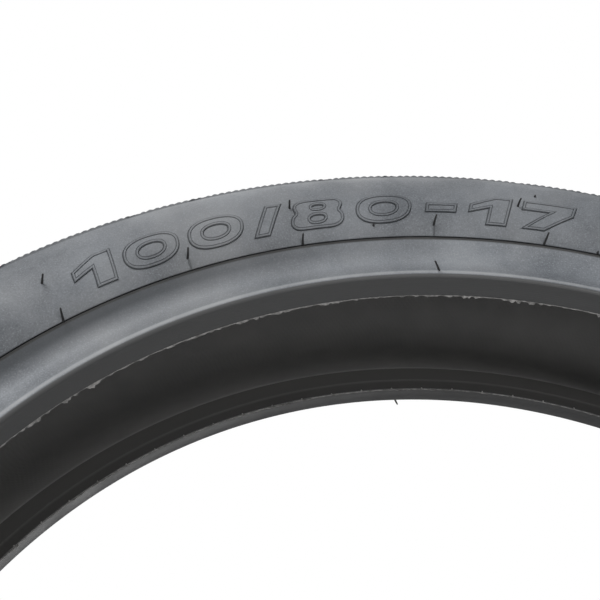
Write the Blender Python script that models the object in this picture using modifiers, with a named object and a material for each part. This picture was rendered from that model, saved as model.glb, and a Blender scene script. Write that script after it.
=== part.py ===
"""A 100/80-17 motorcycle tyre, built from the pieces that a tyre builder lays up before it is cured.

Metres, +Z up. The origin is the centre of the tyre and the axle line is the Y axis, so the tyre stands on its
tread. "Right" is the -Y side and "left" the +Y side, as a rider facing +X sees them.

Every piece is a ring turned about the axle. A section point is (y, r): the distance from the tyre's middle
plane, and the radius from the axle. Sections are drawn for y > 0 and mirrored for the other side. The layers
follow one line, the casing line, which runs from the middle of the crown down the inside of the sidewall,
under the bead core and up its outer side.
"""

import math

import bmesh
import bpy

COLLECTION = "motorcycle_tyre"
HELPERS = "cutters"
STEPS = 32  # flats round the tyre
GAP = 0.0003  # left between pieces that are bonded in the real tyre

# Size code 100/80-17
OVERALL_RADIUS = 0.296
SECTION_WIDTH = 0.101
BEAD_SEAT_RADIUS = 0.2169  # at the heel of the bead

# Outer shape
CROWN_RADIUS = 0.0591  # of the arc across the tread
CROWN_END_DEG = 45.0  # from the middle of the crown, where the sidewall's arc takes over
WALL_RADIUS = 0.029  # of the arc down the sidewall
TREAD_EDGE_DEG = 60.0  # round the sidewall's arc
WALL_CENTRE_R = 0.258
RIM_LINE_DEG = 134.0  # from straight outwards, round the sidewall arc
BEAD_FACE_Y = 0.0395
BEAD_FACE_TOP_R = 0.229
HEEL_ROUND = 0.0026
BEAD_WIDTH = 0.013
TOE_DROP = 0.0012  # the toe's radius is this much less than the heel's
FLANGE_CURVE = (0.0404, 0.2336)

# Layers
CAP_THICK = 0.0048
BASE_THICK = 0.0010
PLY_THICK = 0.0005
LINER_THICK = 0.0010
CHAFER_THICK = 0.0003
WRAP_THICK = 0.0003

# The bead core, a hexagonal bundle
CORE_SIZE = 0.0040
CORE_OUTER_Y = 0.0352
CORE_BOTTOM_R = 0.2228
TURN_UP_BEND_R = 0.2305

# Tread grooves
PITCHES = 20
FIRST_GROOVE_DEG = 3.2  # round the axle, where the first one starts
GROOVE_WIDTH = 0.0050
GROOVE_TAPER = 0.35  # share of the width lost by the outer end
GROOVE_START_DEG, GROOVE_END_DEG = 8.0, 57.0  # from the middle of the crown, round the section
GROOVE_SWEEP_DEG = 15.0  # round the axle
GROOVE_BEND = 1.4  # power of the curve that a groove follows; 1 is straight
GROOVE_DEPTH, GROOVE_END_DEPTH = 0.0034, 0.0014
GROOVE_CLEAR = 0.003  # how far a cutter stands above the tread
BAR_LENGTHS = 3  # straight lengths that make up a bent cutter

MATERIALS = {  # base colour, roughness, metallic
    "tread_rubber": ((0.130, 0.133, 0.138), 0.75, 0.0),
    "sidewall_rubber": ((0.170, 0.175, 0.182), 0.55, 0.0),
    "bead_rubber": ((0.160, 0.163, 0.167), 0.60, 0.0),
    "liner_rubber": ((0.045, 0.045, 0.047), 0.65, 0.0),
    "filler_rubber": ((0.040, 0.040, 0.040), 0.80, 0.0),
    "nylon_cord": ((0.300, 0.220, 0.130), 0.85, 0.0),
    "chafer_fabric": ((0.180, 0.150, 0.110), 0.90, 0.0),
    "bead_wire": ((0.560, 0.470, 0.330), 0.35, 1.0),
}


# ---- The outer shape and the casing line ----


def on_arc(centre, radius, degrees):
    """The section point that far round an arc, from straight outwards towards the sidewall."""
    angle = math.radians(degrees)
    return centre[0] + radius * math.sin(angle), centre[1] + radius * math.cos(angle)


def crown(degrees, depth=0.0):
    return on_arc((0.0, OVERALL_RADIUS - CROWN_RADIUS), CROWN_RADIUS - depth, degrees)


def wall(degrees, depth=0.0):
    return on_arc((SECTION_WIDTH / 2 - WALL_RADIUS, WALL_CENTRE_R), WALL_RADIUS - depth, degrees)


def outside(degrees, depth=0.0):
    """The outer surface from the middle of the crown to the rim line."""
    return crown(degrees, depth) if degrees < CROWN_END_DEG else wall(degrees, depth)


def half_casing_line():
    """The outer surface of the outer casing ply, for y > 0, from the crown to the end of the turn-up."""
    over_plies = CAP_THICK + BASE_THICK + 2 * PLY_THICK + 4 * GAP
    clear = WRAP_THICK + 2 * GAP
    inner_y = CORE_OUTER_Y - CORE_SIZE - clear
    outer_y = CORE_OUTER_Y + clear
    under_r = CORE_BOTTOM_R - clear
    return [
        crown(9, over_plies),
        crown(26, over_plies),
        wall(45, 0.0075),
        wall(76, 0.0040),
        wall(106, 0.0035),
        (inner_y, CORE_BOTTOM_R + CORE_SIZE),
        (inner_y, under_r),
        (outer_y, under_r),
        (outer_y, TURN_UP_BEND_R),
        wall(126, 0.0046),
    ]


LINE = half_casing_line()
# The stations on the casing line are numbered along it from 0 at the crown
SHOULDER, UPPER_WALL, LOWER_WALL = 2, 3, 4
BESIDE_CORE, UNDER_CORE, OUTSIDE_CORE = 5, 6, 7
TURN_UP_FOOT, TURN_UP_TIP = 8, 9


# ---- Working with section points ----


def unit(a, b):
    length = math.hypot(b[0] - a[0], b[1] - a[1])
    return (b[0] - a[0]) / length, (b[1] - a[1]) / length


def shifted(point, direction, distance):
    """The point moved sideways from a direction of travel, towards the cavity if distance is positive."""
    return point[0] + direction[1] * distance, point[1] - direction[0] * distance


def at(station, distance=0.0):
    """The point at a station along the casing line, such as 2.5, and that far inside it."""
    start = min(int(station), len(LINE) - 2)
    share = station - start
    a, b = LINE[start], LINE[start + 1]
    point = (a[0] + (b[0] - a[0]) * share, a[1] + (b[1] - a[1]) * share)
    return shifted(point, unit(a, b), distance)


def stretch(first, last):
    """The casing line between two stations."""
    between = [LINE[i] for i in range(int(first) + 1, math.ceil(last))]
    return [at(first)] + between + [at(last)]


def other_side(points):
    return [(-y, r) for y, r in points]


def both_sides(half):
    """A line for y > 0 joined to its mirror image."""
    return other_side(half[::-1]) + half


def parallel(points, distance):
    """The line moved sideways by a distance, with mitred corners."""
    moved = []
    for i, point in enumerate(points):
        before = unit(points[i - 1], point) if i else None
        after = unit(point, points[i + 1]) if i + 1 < len(points) else None
        before, after = before or after, after or before
        middle = unit((0, 0), (before[0] + after[0], before[1] + after[1]))
        mitre = distance / (middle[0] * before[0] + middle[1] * before[1])
        moved.append(shifted(point, middle, mitre))
    return moved


def strip(points, near, thickness):
    """The closed outline of a layer that starts a distance from the line."""
    return parallel(points, near) + parallel(points, near + thickness)[::-1]


def crossing(a, b, c, d):
    """Where line ab meets line cd."""
    u, v = unit(a, b), unit(c, d)
    across = u[0] * v[1] - u[1] * v[0]
    along = ((c[0] - a[0]) * v[1] - (c[1] - a[1]) * v[0]) / across
    return a[0] + u[0] * along, a[1] + u[1] * along


# ---- The sections of the pieces ----

CAP_UNDERSIDE = BASE_THICK + 2 * PLY_THICK + 4 * GAP  # outside the casing line
# How far inside the casing line, which is outwards where it turns up round the bead
OVER_TURN_UP = 2 * (PLY_THICK + GAP)
OVER_CHAFER = OVER_TURN_UP + CHAFER_THICK + GAP

# The stations where layers end
OUTER_BREAKER_REACH = SHOULDER - 0.40
INNER_BREAKER_REACH = SHOULDER - 0.22
CAP_REACH = SHOULDER - 0.16
OUTER_PLY_REACH = TURN_UP_FOOT + 0.70
CHAFER_START, CHAFER_REACH = BESIDE_CORE + 0.43, OUTSIDE_CORE + 0.57
WRAP_START, WRAP_REACH = BESIDE_CORE + 0.43, OUTSIDE_CORE + 0.29
WEDGE_TOP, WEDGE_SIDE, WEDGE_FOOT = CAP_REACH + 0.12, SHOULDER + 0.25, SHOULDER + 0.75
WEDGE_OUTSIDE = CAP_UNDERSIDE - GAP  # of the wedge, outside the casing line
STRIP_REACH = TURN_UP_FOOT + 0.66  # the station where the rim strip ends, under the rim line
LINER_REACH = BESIDE_CORE + 0.12


def tread_cap_section():
    half = [crown(CROWN_END_DEG * i / 4) for i in range(1, 5)] + [wall(TREAD_EDGE_DEG)]
    arc = other_side(half[::-1]) + [crown(0)] + half
    underside = parallel(both_sides(stretch(0, CAP_REACH)), -CAP_UNDERSIDE)
    return arc + underside[::-1]


def crown_layer_section(reach, near, thickness):
    """A layer outside the casing plies, as far as a station and that far outside them."""
    return strip(both_sides(stretch(0, reach)), -near, -thickness)


def casing_ply_section(reach, near):
    return strip(both_sides(stretch(0, reach)), near, PLY_THICK)


def inner_liner_section():
    return strip(both_sides(stretch(0, LINER_REACH)), OVER_TURN_UP, LINER_THICK)


def shoulder_wedge_section():
    outer = -WEDGE_OUTSIDE
    corner = parallel(LINE, outer)[SHOULDER]
    underside = [at(WEDGE_FOOT, -GAP), parallel(LINE, -GAP)[SHOULDER], at(WEDGE_TOP, -GAP)]
    return [at(WEDGE_TOP, outer), corner, at(WEDGE_SIDE, outer)] + underside


def sidewall_section():
    arc = [wall(degrees) for degrees in (TREAD_EDGE_DEG + 1.1, 75.0, 90.0, 112.0, RIM_LINE_DEG - 0.7)]
    over_turn_up = [at(STRIP_REACH + 0.03, OVER_TURN_UP), at(TURN_UP_TIP, OVER_TURN_UP)]
    over_casing = [at(LOWER_WALL + 0.12, -GAP)]
    over_casing += [parallel(LINE, -GAP)[station] for station in (LOWER_WALL, UPPER_WALL)]
    outer = -WEDGE_OUTSIDE - GAP
    over_wedge = [
        at(WEDGE_FOOT + 0.1, -GAP),
        at(WEDGE_SIDE + 0.02, outer),
        parallel(LINE, outer)[SHOULDER],
        at(WEDGE_TOP, outer),
    ]
    return arc + over_turn_up + over_casing + over_wedge


def rim_strip_section():
    toe = (BEAD_FACE_Y - BEAD_WIDTH, BEAD_SEAT_RADIUS - TOE_DROP)
    heel = [(BEAD_FACE_Y - HEEL_ROUND, BEAD_SEAT_RADIUS), (BEAD_FACE_Y, BEAD_SEAT_RADIUS + HEEL_ROUND)]
    flange = [(BEAD_FACE_Y, BEAD_FACE_TOP_R), FLANGE_CURVE, wall(RIM_LINE_DEG)]
    around = parallel(LINE, OVER_CHAFER)
    liner_foot = at(LINER_REACH)[1] - GAP
    inside = [
        at(STRIP_REACH, OVER_TURN_UP),
        parallel(LINE, OVER_TURN_UP)[TURN_UP_FOOT],
        (around[OUTSIDE_CORE][0], at(CHAFER_REACH)[1] + GAP),
        around[OUTSIDE_CORE],
        around[UNDER_CORE],
        (around[UNDER_CORE][0], liner_foot),
        (toe[0] + 0.0004, liner_foot),
    ]
    return [toe] + heel + flange + inside


def chafer_section():
    return strip(stretch(CHAFER_START, CHAFER_REACH), OVER_TURN_UP, CHAFER_THICK)


def bead_wrap_section():
    return strip(stretch(WRAP_START, WRAP_REACH), -GAP, -WRAP_THICK)


def bead_core_section():
    half = CORE_SIZE / 2
    middle = (CORE_OUTER_Y - half, CORE_BOTTOM_R + half)
    waist = half * 0.5  # half the width of the flat top and bottom
    right = [(waist, -half), (half, 0.0), (waist, half)]
    left = [(-y, r) for y, r in reversed(right)]
    return [(middle[0] + y, middle[1] + r) for y, r in right + left]


def bead_filler_section():
    side = parallel(LINE, -GAP)
    base_r = CORE_BOTTOM_R + CORE_SIZE + GAP
    inner_foot = crossing((0.0, base_r), (1.0, base_r), side[LOWER_WALL], side[BESIDE_CORE])
    tip = crossing(side[LOWER_WALL], side[BESIDE_CORE], side[TURN_UP_FOOT], side[TURN_UP_TIP])
    return [inner_foot, (side[OUTSIDE_CORE][0], base_r), side[TURN_UP_FOOT], tip]


# ---- Making the objects ----


def clear_scene():
    for obj in list(bpy.data.objects):
        bpy.data.objects.remove(obj)
    for collection in list(bpy.data.collections):
        bpy.data.collections.remove(collection)


def new_collection(name):
    collection = bpy.data.collections.new(name)
    bpy.context.scene.collection.children.link(collection)
    return collection


def make_materials():
    made = {}
    for name, (colour, roughness, metallic) in MATERIALS.items():
        material = bpy.data.materials.new(name)
        material.use_nodes = True
        surface = material.node_tree.nodes["Principled BSDF"]
        surface.inputs["Base Color"].default_value = (*colour, 1.0)
        surface.inputs["Roughness"].default_value = roughness
        surface.inputs["Metallic"].default_value = metallic
        made[name] = material
    return made


def signed_area(outline):
    closed = outline[1:] + outline[:1]
    return sum(a[0] * b[1] - b[0] * a[1] for a, b in zip(outline, closed)) / 2


def turned(name, outline, material, collection):
    """A ring turned about the axle: its outline has the radius along X, and Screw turns it about Y."""
    if signed_area(outline) < 0:
        outline = outline[::-1]
    mesh = bpy.data.meshes.new(name)
    edges = [(i, (i + 1) % len(outline)) for i in range(len(outline))]
    mesh.from_pydata([(r, y, 0.0) for y, r in outline], edges, [])
    obj = bpy.data.objects.new(name, mesh)
    collection.objects.link(obj)
    screw = obj.modifiers.new("turn", "SCREW")
    screw.axis = "Y"
    screw.steps = STEPS
    screw.render_steps = STEPS
    screw.use_merge_vertices = True
    screw.merge_threshold = 0.00001
    screw.use_smooth_shade = True
    mesh.materials.append(material)
    return obj


def groove_point(along, across, up, side, pitch):
    """A point of a groove cutter. along runs 0 to 1 outwards; across and up run from -0.5 to 0.5."""
    degrees = GROOVE_START_DEG + (GROOVE_END_DEG - GROOVE_START_DEG) * along
    sweep = math.radians(GROOVE_SWEEP_DEG)
    bend = sweep * along**GROOVE_BEND
    # The groove's direction, as distances across the crown and round the axle
    over = CROWN_RADIUS * math.radians(GROOVE_END_DEG - GROOVE_START_DEG)
    around = OVERALL_RADIUS * sweep * GROOVE_BEND * along ** (GROOVE_BEND - 1)
    length = math.hypot(over, around)
    width = GROOVE_WIDTH * (1.0 - GROOVE_TAPER * along)
    degrees -= math.degrees(across * width * around / length / CROWN_RADIUS)
    bend += across * width * over / length / OVERALL_RADIUS
    depth = GROOVE_DEPTH + (GROOVE_END_DEPTH - GROOVE_DEPTH) * along
    y, r = outside(degrees, depth if up < 0 else -GROOVE_CLEAR)
    stagger = 0.5 if side < 0 else 0.0
    angle = math.radians(FIRST_GROOVE_DEG) + 2 * math.pi * (pitch + stagger) / PITCHES + bend
    return r * math.cos(angle), side * y, r * math.sin(angle)


def add_bar(bm, side, pitch):
    """One groove cutter: four-cornered rings of points along the groove, joined up and capped."""
    corners = ((-0.5, -0.5), (0.5, -0.5), (0.5, 0.5), (-0.5, 0.5))
    rings = []
    for i in range(BAR_LENGTHS + 1):
        points = [groove_point(i / BAR_LENGTHS, across, up, side, pitch) for across, up in corners]
        rings.append([bm.verts.new(point) for point in points])
    bm.faces.new(rings[0])
    bm.faces.new(rings[-1])
    for near, far in zip(rings, rings[1:]):
        for i in range(4):
            bm.faces.new((near[i], near[i - 1], far[i - 1], far[i]))


def groove_cutter(material, collection):
    """All the groove cutters in one object: bars bent to follow the crown."""
    bm = bmesh.new()
    for side in (1, -1):
        for pitch in range(PITCHES):
            add_bar(bm, side, pitch)
    bmesh.ops.recalc_face_normals(bm, faces=bm.faces)
    mesh = bpy.data.meshes.new("groove_cutters")
    bm.to_mesh(mesh)
    bm.free()
    obj = bpy.data.objects.new("groove_cutters", mesh)
    collection.objects.link(obj)
    obj.hide_render = True
    obj.display_type = "WIRE"
    mesh.materials.append(material)
    return obj


def main():
    clear_scene()
    pieces = new_collection(COLLECTION)
    helpers = new_collection(HELPERS)
    material = make_materials()

    first, second = GAP, 2 * GAP + PLY_THICK  # how far the breakers start outside the casing
    whole = {
        "tread_cap": (tread_cap_section(), "tread_rubber"),
        "tread_base": (
            crown_layer_section(CAP_REACH, second + PLY_THICK + GAP, BASE_THICK),
            "filler_rubber",
        ),
        "breaker_ply_outer": (
            crown_layer_section(OUTER_BREAKER_REACH, second, PLY_THICK),
            "nylon_cord",
        ),
        "breaker_ply_inner": (
            crown_layer_section(INNER_BREAKER_REACH, first, PLY_THICK),
            "nylon_cord",
        ),
        "casing_ply_outer": (casing_ply_section(OUTER_PLY_REACH, 0.0), "nylon_cord"),
        "casing_ply_inner": (casing_ply_section(TURN_UP_TIP, PLY_THICK + GAP), "nylon_cord"),
        "inner_liner": (inner_liner_section(), "liner_rubber"),
    }
    per_side = {
        "sidewall": (sidewall_section(), "sidewall_rubber"),
        "shoulder_wedge": (shoulder_wedge_section(), "filler_rubber"),
        "rim_strip": (rim_strip_section(), "bead_rubber"),
        "chafer": (chafer_section(), "chafer_fabric"),
        "bead_wrap": (bead_wrap_section(), "chafer_fabric"),
        "bead_core": (bead_core_section(), "bead_wire"),
        "bead_filler": (bead_filler_section(), "filler_rubber"),
    }
    made = {}
    for name, (outline, finish) in whole.items():
        made[name] = turned(name, outline, material[finish], pieces)
    for name, (outline, finish) in per_side.items():
        turned(name + "_left", outline, material[finish], pieces)
        turned(name + "_right", other_side(outline), material[finish], pieces)

    cut = made["tread_cap"].modifiers.new("grooves", "BOOLEAN")
    cut.operation = "DIFFERENCE"
    cut.object = groove_cutter(material["tread_rubber"], helpers)


main()
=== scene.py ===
"""The looks of the 100/80-17 motorcycle tyre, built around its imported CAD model.

Lengths are in millimetres until a mesh is made. A place on the tyre is a turn (degrees round the axle, from
+X towards +Z) and a section point (y, r). On the outer skin, a lean gives the section point: 0 is the
middle of the tread, 90 faces straight out of a sidewall and 134 is the rim line. The right side has y < 0.
"""

import math
from typing import NamedTuple

import bmesh
import bpy
import numpy as np
from mathutils import Matrix, Vector
from mathutils.geometry import delaunay_2d_cdt


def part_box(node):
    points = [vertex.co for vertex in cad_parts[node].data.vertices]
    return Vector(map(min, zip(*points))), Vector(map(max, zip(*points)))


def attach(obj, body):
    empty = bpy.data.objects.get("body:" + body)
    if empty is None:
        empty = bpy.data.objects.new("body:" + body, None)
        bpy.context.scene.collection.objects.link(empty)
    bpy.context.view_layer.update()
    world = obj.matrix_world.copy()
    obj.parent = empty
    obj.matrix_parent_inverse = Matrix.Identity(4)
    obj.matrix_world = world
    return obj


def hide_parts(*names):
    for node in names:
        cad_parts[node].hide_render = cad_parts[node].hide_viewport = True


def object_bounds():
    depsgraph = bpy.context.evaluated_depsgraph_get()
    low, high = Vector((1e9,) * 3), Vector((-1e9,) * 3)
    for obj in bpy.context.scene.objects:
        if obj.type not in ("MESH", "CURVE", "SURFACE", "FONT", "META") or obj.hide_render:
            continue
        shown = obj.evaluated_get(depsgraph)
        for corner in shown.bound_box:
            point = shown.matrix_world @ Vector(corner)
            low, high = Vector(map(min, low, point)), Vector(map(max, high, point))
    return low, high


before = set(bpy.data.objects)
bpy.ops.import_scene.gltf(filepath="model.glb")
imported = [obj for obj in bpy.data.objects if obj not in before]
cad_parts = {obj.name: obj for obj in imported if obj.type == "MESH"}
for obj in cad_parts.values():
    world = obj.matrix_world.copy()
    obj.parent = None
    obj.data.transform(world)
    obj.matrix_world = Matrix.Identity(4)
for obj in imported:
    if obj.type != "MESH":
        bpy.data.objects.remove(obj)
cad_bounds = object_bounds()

MM = 0.001

# The CAD model's size, and the arcs of its skin
TREAD_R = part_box("tread_cap")[1].z / MM
HALF_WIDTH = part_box("sidewall_left")[1].y / MM
TOE_R = 215.7
CROWN_RADIUS = 59.1
WALL_RADIUS = 29.0
CROWN_CENTRE = (0.0, TREAD_R - CROWN_RADIUS)
WALL_CENTRE = (HALF_WIDTH - WALL_RADIUS, 258.0)
ARC_CHANGE = math.degrees(math.atan2(WALL_CENTRE[0], WALL_CENTRE[1] - CROWN_CENTRE[1]))
TREAD_EDGE = 60.0
RIM_LINE = 134.0

STEPS = 540  # round a visible piece
STEP = 360.0 / STEPS
HIDDEN_STEPS = 180
SHARP = 32.0  # degrees between faces that meet in a crisp edge


# ---- Places on the tyre ----


def on_skin(lean, lift=0.0):
    """The section points (y, r) at these leans, raised above the skin by lift."""
    lean = np.asarray(lean, float)
    angle = np.radians(lean)
    crown = lean < ARC_CHANGE
    radius = np.where(crown, CROWN_RADIUS, WALL_RADIUS) + lift
    y = np.where(crown, CROWN_CENTRE[0], WALL_CENTRE[0]) + radius * np.sin(angle)
    r = np.where(crown, CROWN_CENTRE[1], WALL_CENTRE[1]) + radius * np.cos(angle)
    return y, r


def along_skin(lean):
    """The distance along the section from the middle of the tread."""
    lean = np.asarray(lean, float)
    over_crown = CROWN_RADIUS * np.radians(np.minimum(lean, ARC_CHANGE))
    return over_crown + WALL_RADIUS * np.radians(np.maximum(lean - ARC_CHANGE, 0.0))


def on_right(point):
    """The section point or direction (y, r) on the right side that mirrors one on the left."""
    y, r = point
    return -float(y), float(r)


def place(turn, y, r):
    """Points in metres, one a row."""
    angle = np.radians(turn)
    parts = np.broadcast_arrays(r * np.cos(angle), y, r * np.sin(angle))
    return np.stack(parts, -1).reshape(-1, 3) * MM


def smooth_step(value, start, end):
    share = np.clip((np.asarray(value, float) - start) / (end - start), 0.0, 1.0)
    return share * share * (3.0 - 2.0 * share)


def waviness(turn, lean):
    """The slight unevenness of moulded rubber over cords. It repeats every full turn."""
    turn = np.radians(turn)
    lean = np.radians(lean)
    wave = 0.5 * np.sin(9 * turn + 2.0 * lean) + 0.3 * np.sin(23 * turn - 5.0 * lean + 1.0)
    return 0.07 * (wave + 0.2 * np.sin(41 * turn + 9.0 * lean + 2.0))


# ---- Curves in the plane ----


def subdivided(loop, spacing):
    """The closed loop with points added, so that no edge is longer than the spacing."""
    points = []
    for start, end in zip(loop, np.roll(loop, -1, axis=0)):
        count = max(1, math.ceil(np.linalg.norm(end - start) / spacing))
        points += [start + (end - start) * i / count for i in range(count)]
    return np.array(points)


def shifted_loop(loop, distance):
    """A closed loop moved to its left by a distance, with mitred corners. An anticlockwise loop shrinks."""
    before = loop - np.roll(loop, 1, axis=0)
    after = np.roll(loop, -1, axis=0) - loop
    normals = []
    for edge in (before, after):
        edge = edge / np.linalg.norm(edge, axis=1, keepdims=True)
        normals.append(np.stack([-edge[:, 1], edge[:, 0]], -1))
    middle = normals[0] + normals[1]
    middle /= np.maximum((middle * normals[1]).sum(1, keepdims=True), 0.3)
    return loop + middle * distance


def within(loop, points):
    """Which points are inside the closed loop."""
    inside = np.zeros(len(points), bool)
    x, y = points[:, 0], points[:, 1]
    for (ax, ay), (bx, by) in zip(loop, np.roll(loop, -1, axis=0)):
        if ay == by:
            continue
        spans = (ay > y) != (by > y)
        inside ^= spans & (x < (bx - ax) * (y - ay) / (by - ay) + ax)
    return inside


BATCH = 400  # points compared at a time, to save memory


def clear_of(points, others, distance):
    """The points that are at least a distance from all the others."""
    keep = np.ones(len(points), bool)
    for start in range(0, len(others), BATCH):
        part = others[start : start + BATCH]
        gaps = np.hypot(points[:, None, 0] - part[None, :, 0], points[:, None, 1] - part[None, :, 1])
        keep &= gaps.min(1) > distance
    return points[keep]


def spline(points, steps):
    """A smooth line through the points, with that many steps between each pair."""
    points = np.array(points, float)
    ends = [2 * points[0] - points[1], *points, 2 * points[-1] - points[-2]]
    line = []
    for a, b, c, d in zip(ends, ends[1:], ends[2:], ends[3:]):
        for i in range(steps):
            t = i / steps
            cubic = 2 * a - 5 * b + 4 * c - d + t * (3 * (b - c) + d - a)
            line.append(b + 0.5 * t * (c - a + t * cubic))
    return line + [points[-1]]


def rounded(points, steps):
    """A line whose corners are cut by smooth curves from the middle of each edge to that of the next."""
    points = np.array(points, float)
    line = [points[0]]
    for a, b, c in zip(points, points[1:], points[2:]):
        start, end = (a + b) / 2, (b + c) / 2
        for i in range(steps + 1):
            t = i / steps
            line.append((1 - t) ** 2 * start + 2 * t * (1 - t) * b + t * t * end)
    return line + [points[-1]]


# ---- Reading the CAD sections ----


SECTION_TURN = 56.25  # the CAD rings have corners here, and no groove of the left side crosses it


def cad_section(node, one_side=False):
    """The (y, r) outline of a CAD ring at SECTION_TURN, in order. With one_side, its y > 0 part."""
    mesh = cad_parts[node].data
    limit = 0.002 * MM
    flatten = Matrix.Rotation(math.radians(SECTION_TURN), 3, "Y")
    found = {}
    for vertex in mesh.vertices:
        x, y, z = flatten @ vertex.co
        if abs(z) < limit and x > 0 and (y > -limit or not one_side):
            found[vertex.index] = (round(y / MM, 3), round(x / MM, 3))
    links = {point: set() for point in found.values()}
    for edge in mesh.edges:
        a, b = (found.get(index) for index in edge.vertices)
        if a and b and a != b:
            links[a].add(b)
            links[b].add(a)
    ends = sorted(point for point, joined in links.items() if len(joined) == 1)
    line = [ends[0] if ends else min(links)]
    while True:
        onward = sorted(links[line[-1]] - set(line[-2:]))
        if not onward or onward[0] == line[0]:
            break
        line.append(onward[0])
    if len(line) != len(links):
        raise ValueError(f"the section of {node} isn't one line: {len(line)} of {len(links)} points")
    return line


def hidden_side(node, shown):
    """The outline points of a left-hand ring that aren't on its shown surface, from the tread end down."""
    line = cad_section(node, one_side=True)
    while not shown(line[0]) or shown(line[-1]):
        line = line[1:] + line[:1]
    hidden = [point for point in line if not shown(point)]
    return hidden if hidden[0][1] > hidden[-1][1] else hidden[::-1]


# ---- Meshes ----


# The point attribute that carries painted shade for creases, grooves and valleys
CREASE = "crease"


class Piece:
    """Gathers the points and faces of one closed piece. A point's crease, 0 to 1, darkens its rubber with
    painted shade.
    """

    def __init__(self):
        self.points = []
        self.creases = []
        self.faces = []
        self.count = 0

    def add(self, points, crease=0.0):
        self.points.append(points)
        self.creases.append(np.broadcast_to(crease, len(points)))
        self.count += len(points)
        return np.arange(self.count - len(points), self.count)

    def ring(self, y, r, steps=STEPS, crease=0.0):
        turn = np.arange(steps) * 360.0 / steps
        return self.add(place(turn, y, r), crease)

    def band(self, near, far):
        """Four-sided faces between two rings of the same length."""
        sides = (near, np.roll(near, -1), np.roll(far, -1), far)
        self.faces += np.stack(sides, -1).tolist()

    def rows(self, near, far):
        """Four-sided faces between two open rows of the same length."""
        self.faces += np.stack((near[:-1], near[1:], far[1:], far[:-1]), -1).tolist()

    def stitch(self, coarse, fine):
        """Joins a ring to one that has a whole number of times as many points."""
        times = len(fine) // len(coarse)
        for i, point in enumerate(coarse):
            run = [fine[(i * times + k) % len(fine)] for k in range(times + 1)]
            self.faces.append([coarse[(i + 1) % len(coarse)], point, *run])

    def turned(self, outline, steps=STEPS, closed=False):
        rings = [self.ring(y, r, steps) for y, r in outline]
        for near, far in zip(rings, rings[1:]):
            self.band(near, far)
        if closed:
            self.band(rings[-1], rings[0])
        return rings

    def tube(self, path, radii, sides=7, crease=0.0):
        """A closed tube along a path of Vectors in metres, with a radius in mm at each point."""
        rings = []
        for i, (point, radius) in enumerate(zip(path, radii)):
            ahead = path[min(i + 1, len(path) - 1)] - path[max(i - 1, 0)]
            turn = ahead.to_track_quat("Z", "Y")
            angles = [2 * math.pi * k / sides for k in range(sides)]
            around = [Vector((math.cos(a), math.sin(a), 0.0)) * radius * MM for a in angles]
            rings.append(self.add(np.array([point + turn @ offset for offset in around]), crease))
        for near, far in zip(rings, rings[1:]):
            self.band(near, far)
        self.faces += [rings[0].tolist(), rings[-1].tolist()]

    def make(self, name, material, nodes=(), slot=None, transform=None, sharp=SHARP):
        """The finished object. It rides on the tyre and stands for the CAD nodes."""
        mesh = bpy.data.meshes.new(name)
        mesh.from_pydata(np.concatenate(self.points).tolist(), [], self.faces)
        attribute = mesh.attributes.new(CREASE, "FLOAT", "POINT")
        attribute.data.foreach_set("value", np.concatenate(self.creases).astype(np.float32))
        bm = bmesh.new()
        bm.from_mesh(mesh)
        bmesh.ops.remove_doubles(bm, verts=bm.verts, dist=0.002 * MM)
        bmesh.ops.recalc_face_normals(bm, faces=bm.faces)
        bm.to_mesh(mesh)
        bm.free()
        if transform:
            mesh.transform(transform)
        mesh.shade_smooth()
        mesh.set_sharp_from_angle(angle=math.radians(sharp))
        mesh.materials.append(material)
        obj = bpy.data.objects.new(name, mesh)
        bpy.context.scene.collection.objects.link(obj)
        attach(obj, "root")
        if nodes:
            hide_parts(*nodes)
        return obj


HALF_TURN = Matrix.Rotation(math.pi, 4, "Z")  # takes the right side to the left and keeps the top up


def triangulated(outline, loops, spots):
    """Triangles over flat points that keep the edges of the outline and of each loop inside it."""
    groups = [outline, *loops]
    edges = []
    start = 0
    for group in groups:
        count = len(group)
        edges += [(start + i, start + (i + 1) % count) for i in range(count)]
        start += count
    points = np.concatenate([*groups, spots])
    inside_outline = 1
    found = delaunay_2d_cdt([Vector(p) for p in points], edges, [], inside_outline, 1e-6)
    sources = found[3]
    if any(len(source) != 1 for source in sources) or len(sources) != len(points):
        raise ValueError("two loops of a relief cross or touch")
    number = [source[0] for source in sources]
    return points, [[number[i] for i in face] for face in found[2]]


# ---- The size code on the sidewall ----

CODE_HEIGHT = 13.8
CODE_SLANT = 0.22
CODE_START = 124.4  # turn where it starts; it reads towards smaller turns
CODE_TOP, CODE_BOTTOM = 94.6, 121.8  # leans
CODE_R = WALL_CENTRE[1] + WALL_RADIUS * math.cos(math.radians(109.0))
EDGE_PROFILE = (  # distance inside a character's outline, height above the skin, crease (painted shade at the edges)
    (-0.40, 0.0, 0.0),
    (-0.12, -0.30, 1.0),
    (0.16, 0.50, 0.5),
    (0.80, 0.50, 0.0),
    (1.04, 0.05, 1.0),
    (1.26, 0.30, 0.0),
)
CHARACTERS = (  # character, width, space after it
    ("1", 17.0, 4.4),
    ("0", 23.4, 4.3),
    ("0", 23.4, 4.7),
    ("/", 12.0, 4.1),
    ("8", 22.6, 5.4),
    ("0", 23.4, 6.5),
    ("-", 13.0, 5.6),
    ("1", 17.0, 5.0),
    ("7", 21.6, 0.0),
)
PATCH_TURNS = (72.0, 128.0)
PATCH_LEANS = (93.5, 125.0)
PATCH_ROWS = 12
SPOT_SPACING = 0.9


def squashed_circle(half_width, half_height, power, centre=0.0, count=64):
    """An anticlockwise loop between an ellipse (power 2) and a rectangle."""
    angle = np.arange(count) * 2 * math.pi / count
    c, s = np.cos(angle), np.sin(angle)
    x = half_width * np.sign(c) * np.abs(c) ** (2 / power)
    y = half_height * np.sign(s) * np.abs(s) ** (2 / power)
    return np.stack([x, y + centre], -1)


def zero(width, height):
    return squashed_circle(width / 2, height / 2, 2.35), [squashed_circle(5.4, 2.8, 2.2)]


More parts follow.
